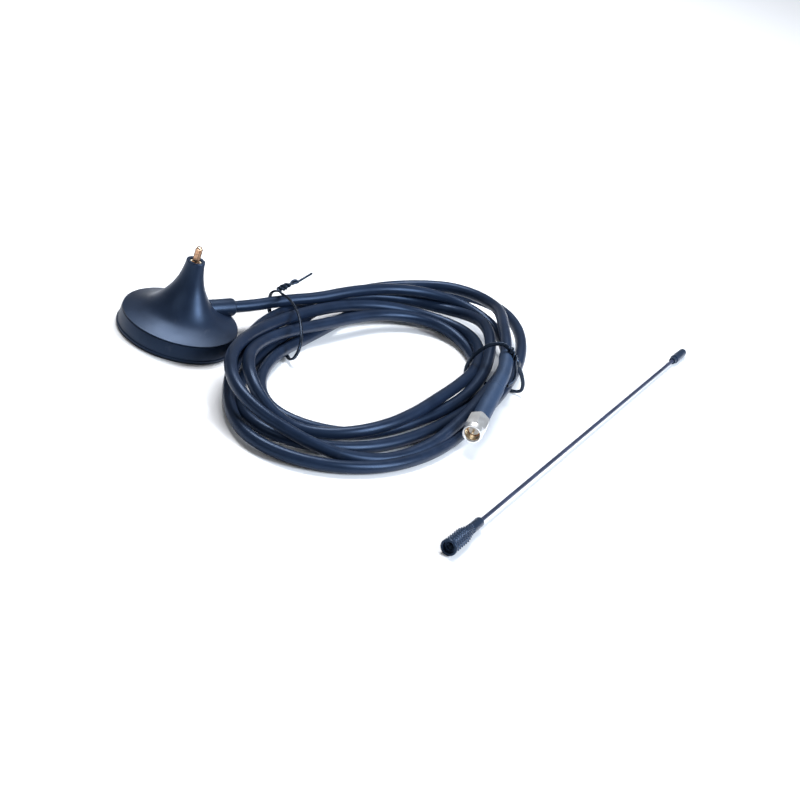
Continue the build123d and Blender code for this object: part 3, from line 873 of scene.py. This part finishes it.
class ANTENNA_OT_cable(bpy.types.Operator):
    """Lays the coiled cable from the base to the plug"""

    bl_idname = "antenna.cable"
    bl_label = "Cable"

    def execute(self, context):
        piece = smooth_curve("cable", cable_route(), sizes().cable / 2)
        piece.data.resolution_u = 6
        piece.data.bevel_resolution = 6
        piece.data.materials.append(finish_for("jacket"))
        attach(piece, BASE)
        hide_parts("cable_lead", "cable_coil", "cable_tail")
        bend = self.sleeve_bend()
        ties = [wire_tie("left_wire_tie", LEFT_LOOP, LEFT_TWIST, LEFT_ENDS, "left_tie"),
                wire_tie("right_wire_tie", RIGHT_LOOP, RIGHT_TWIST, RIGHT_ENDS, "right_tie")]
        return {"FINISHED"}

    def sleeve_bend(self):
        """The thin sleeve's last stretch, which follows the cable's bend behind the plug."""
        before, corner, end = cable_route()[-3:]
        points = [(Vector(before) + corner) / 2, corner, end]
        bend = smooth_curve("sleeve_bend", points, SLEEVE_BEND_RADIUS * MM)
        bend.data.resolution_u = 16
        bend.data.bevel_resolution = 6
        bend.data.materials.append(finish_for("sleeve"))
        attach(bend, BASE)
        return bend

    def plug_pieces(self):
        """The plug's new pieces, which are on the cable."""
        return [bpy.data.objects[name] for name in ("nut_thread", "outer_sleeve", "inner_sleeve")]


# ---------------------------------------------------------------- whip

GRIP_RADIUS = 3.25
GRIP_NECK_RADIUS = 2.0
TAPER_START = 12.0
TAPER_END = 19.0
GRIP_END = 27.3
ROD_RADIUS = 0.8
KNURL_START = 0.95
KNURL_FADE_IN = 0.3
KNURL_FADE_OUT = 0.6
KNURL_ROWS_PER_CELL = 8
SOCKET = [(0, 8.9), (1.2, 8.6), (1.5, 8.4), (1.5, 1.85), (1.75, 1.6), (2.3, 1.6), (2.3, 0.2), (2.5, 0)]
SOCKET_THREAD = (2.0, 8.0)
SOCKET_ROOT_RADIUS = 1.6
SOCKET_CREST_RADIUS = 1.27
GRIP_MOUTH = [(3.0, 0), (3.18, 0.07), (GRIP_RADIUS, 0.25), (GRIP_RADIUS, 0.8)]
NECK_END = [(2.0, 19.5), (2.0, 26.3), (1.93, 26.7), (1.75, 27.05), (1.45, 27.25), (1.1, GRIP_END),
            (ROD_RADIUS, GRIP_END), (ROD_RADIUS, 15.3), (0, 15.3)]
TIP_START = 243.7
TIP = [(0, 254.0), (ROD_RADIUS, 254.0), (ROD_RADIUS, TIP_START), (1.6, TIP_START), (1.95, 244.05),
       (1.95, 254.4), (1.9, 255.4), (1.74, 256.3), (1.42, 257.1), (0.95, 257.7), (0.45, 257.95),
       (0, WHIP_LENGTH)]


def grip_radius(station):
    """Radius of the grip's skin before it is knurled."""
    taper = (station - TAPER_START) / (TAPER_END - TAPER_START)
    return GRIP_RADIUS + (GRIP_NECK_RADIUS - GRIP_RADIUS) * min(max(taper, 0), 1)


def press_knurl(bm, cell):
    """Presses crossed grooves into the grip, which leave rows of small pyramids."""
    starts = sizes().knurl_starts
    depth = sizes().knurl_depth / MM
    for vert in bm.verts:
        station = vert.co.z
        skin = math.hypot(vert.co.x, vert.co.y) > grip_radius(station) - 0.01
        if not skin or not KNURL_START <= station <= TAPER_END:
            continue
        around = starts * math.atan2(vert.co.y, vert.co.x) / math.tau
        along = station / cell
        edge = max(abs((around + along) % 1 - 0.5), abs((around - along) % 1 - 0.5))
        fade = min((station - KNURL_START) / KNURL_FADE_IN, (TAPER_END - station) / KNURL_FADE_OUT, 1)
        radius = grip_radius(station)
        shrink = 1 - depth * fade * 2 * edge / radius
        vert.co.x *= shrink
        vert.co.y *= shrink


class ANTENNA_OT_grip(bpy.types.Operator):
    """Turns and knurls the whip's grip, with its threaded socket"""

    bl_idname = "antenna.grip"
    bl_label = "Grip"

    def execute(self, context):
        starts = sizes().knurl_starts
        cell = math.tau * GRIP_RADIUS / starts
        rows = round((TAPER_END - KNURL_START) / cell * KNURL_ROWS_PER_CELL)
        stations = [KNURL_START + (TAPER_END - KNURL_START) * k / rows for k in range(rows + 1)]
        knurled = [(grip_radius(station), station) for station in stations]
        outline = [*SOCKET, *GRIP_MOUTH, *knurled, *NECK_END]
        body = turned(outline, KNURL_ROWS_PER_CELL * starts, closed=False)
        press_knurl(body, cell)
        pitch = sizes().stud_pitch / MM
        ridge = thread_ridge(SOCKET_ROOT_RADIUS, SOCKET_CREST_RADIUS, pitch)
        bm = joined(body, helical_rib(ridge, pitch, *SOCKET_THREAD))
        grip = finish_piece(bm, "grip", whip_frame(), WHIP, finish_for("whip"), sharp=28.0)
        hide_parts("whip_ferrule")
        return {"FINISHED"}


class ANTENNA_OT_whip(bpy.types.Operator):
    """Rounds the whip's tip and finishes its rod and collar"""

    bl_idname = "antenna.whip"
    bl_label = "Whip"

    def execute(self, context):
        tip = finish_piece(turned(TIP, 48, closed=False), "rounded_tip", whip_frame(), WHIP,
                           finish_for("whip"))
        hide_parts("whip_tip_cap")
        refinish("whip_rod", "rod")
        refinish("tip_collar", "whip")
        return {"FINISHED"}


# ---------------------------------------------------------------- stage

LOOK_AT = (93.24, 8.86, 0.0)
LIGHTS_AIM = (0.09, 0.01, 0.0)
FLOOR_HALF_WIDTH = 4.0
SIDE_SHARE = 1.1
FRONT_SHARE = 0.12


class ANTENNA_OT_stage(bpy.types.Operator):
    """Sets up the floor, the soft light and the camera"""

    bl_idname = "antenna.stage"
    bl_label = "Stage"

    def execute(self, context):
        stage = context.scene.antenna_stage
        self.make_floor(stage)
        self.make_lights(stage)
        self.make_camera(context.scene, stage)
        return {"FINISHED"}

    def make_floor(self, stage):
        """A wide pale floor."""
        bm = bmesh.new()
        bmesh.ops.create_grid(bm, x_segments=8, y_segments=8, size=FLOOR_HALF_WIDTH)
        mesh = bpy.data.meshes.new("floor")
        bm.to_mesh(mesh)
        bm.free()
        floor = bpy.data.objects.new("floor", mesh)
        bpy.context.scene.collection.objects.link(floor)
        material, tree, shader = new_material("floor")
        tone = add_node(tree, "ShaderNodeTexNoise", {"Scale": 3.0, "Detail": 2.0})
        mix = add_node(tree, "ShaderNodeMix", data_type="RGBA")
        mix.inputs["A"].default_value = opaque(stage.floor)
        mix.inputs["B"].default_value = opaque(stage.floor, 1.02)
        join(tree, (object_vector(tree), tone.inputs["Vector"]),
             (tone.outputs["Fac"], mix.inputs["Factor"]),
             (mix.outputs["Result"], shader.inputs["Base Color"]))
        shader.inputs["Roughness"].default_value = 0.9
        shader.inputs["Specular IOR Level"].default_value = 0.1
        mesh.materials.append(material)

    def add_light(self, name, place, size, power, rgb):
        """A rectangular soft light aimed at the middle of the object."""
        light = bpy.data.lights.new(name, "AREA")
        light.shape = "RECTANGLE"
        light.size = size[0]
        light.size_y = size[1]
        light.energy = power
        light.color = rgb
        lamp = bpy.data.objects.new(name, light)
        lamp.location = place
        lamp.rotation_mode = "QUATERNION"
        lamp.rotation_quaternion = (Vector(LIGHTS_AIM) - Vector(place)).to_track_quat("-Z", "Y")
        bpy.context.scene.collection.objects.link(lamp)

    def make_lights(self, stage):
        """Soft light from overhead and from the right, weak light from the front, and pale surroundings."""
        key = stage.key_power
        self.add_light("key_light", (-0.08, 0.4, 0.95), (0.6, 0.4), key, (0.95, 0.97, 1.0))
        self.add_light("side_light", (0.95, -0.1, 0.55), (0.35, 0.6), SIDE_SHARE * key, (0.80, 0.89, 1.0))
        self.add_light("front_light", (-0.3, -0.9, 0.7), (0.9, 0.3), FRONT_SHARE * key, (1.0, 1.0, 1.0))
        world = bpy.data.worlds.new("surroundings")
        world.use_nodes = True
        sky = world.node_tree.nodes["Background"]
        sky.inputs["Color"].default_value = (0.95, 0.97, 1.0, 1.0)
        sky.inputs["Strength"].default_value = stage.sky
        bpy.context.scene.world = world

    def make_camera(self, scene, stage):
        """A camera that looks down at the coil, rolled a little."""
        elevation = stage.elevation
        look_at = Vector(LOOK_AT) * MM
        back = Vector((0, -math.cos(elevation), math.sin(elevation)))
        data = bpy.data.cameras.new("camera")
        data.angle = stage.view_angle
        data.clip_start = 0.01
        data.clip_end = 20.0
        camera = bpy.data.objects.new("camera", data)
        camera.rotation_mode = "QUATERNION"
        upright = (-back).to_track_quat("-Z", "Y")
        roll = Matrix.Rotation(-stage.roll, 4, "Z").to_quaternion()
        camera.rotation_quaternion = upright @ roll
        camera.location = look_at + back * stage.distance
        scene.collection.objects.link(camera)
        scene.camera = camera
        scene.view_settings.view_transform = "Standard"


OPERATORS = (
    ANTENNA_OT_base, ANTENNA_OT_stud, ANTENNA_OT_entry, ANTENNA_OT_plug, ANTENNA_OT_sleeves,
    ANTENNA_OT_cable, ANTENNA_OT_grip, ANTENNA_OT_whip, ANTENNA_OT_stage,
)


class ANTENNA_PT_panel(bpy.types.Panel):
    """The antenna's pieces and settings"""

    bl_idname = "ANTENNA_PT_panel"
    bl_label = "Magnetic Antenna"
    bl_space_type = "VIEW_3D"
    bl_region_type = "UI"
    bl_category = "Antenna"

    def draw(self, context):
        for operator in OPERATORS:
            self.layout.operator(operator.bl_idname)
        scene = context.scene
        for settings in (scene.antenna_sizes, scene.antenna_colours, scene.antenna_stage):
            box = self.layout.box()
            for name in settings.bl_rna.properties.keys():
                if name not in ("rna_type", "name"):
                    box.prop(settings, name)


CLASSES = (AntennaColours, AntennaSizes, AntennaStage, *OPERATORS, ANTENNA_PT_panel)


def register():
    """Adds the settings, operators and panel."""
    for cls in CLASSES:
        bpy.utils.register_class(cls)
    bpy.types.Scene.antenna_colours = bpy.props.PointerProperty(type=AntennaColours)
    bpy.types.Scene.antenna_sizes = bpy.props.PointerProperty(type=AntennaSizes)
    bpy.types.Scene.antenna_stage = bpy.props.PointerProperty(type=AntennaStage)


def unregister():
    """Removes the settings, operators and panel."""
    del bpy.types.Scene.antenna_stage
    del bpy.types.Scene.antenna_sizes
    del bpy.types.Scene.antenna_colours
    for cls in reversed(CLASSES):
        bpy.utils.unregister_class(cls)


def main():
    """Builds everything in order."""
    register()
    bpy.ops.antenna.stage()
    bpy.ops.antenna.plug()
    bpy.ops.antenna.sleeves()
    bpy.ops.antenna.cable()
    bpy.ops.antenna.base()
    bpy.ops.antenna.stud()
    bpy.ops.antenna.entry()
    bpy.ops.antenna.grip()
    bpy.ops.antenna.whip()


if __name__ == "__main__":
    main()
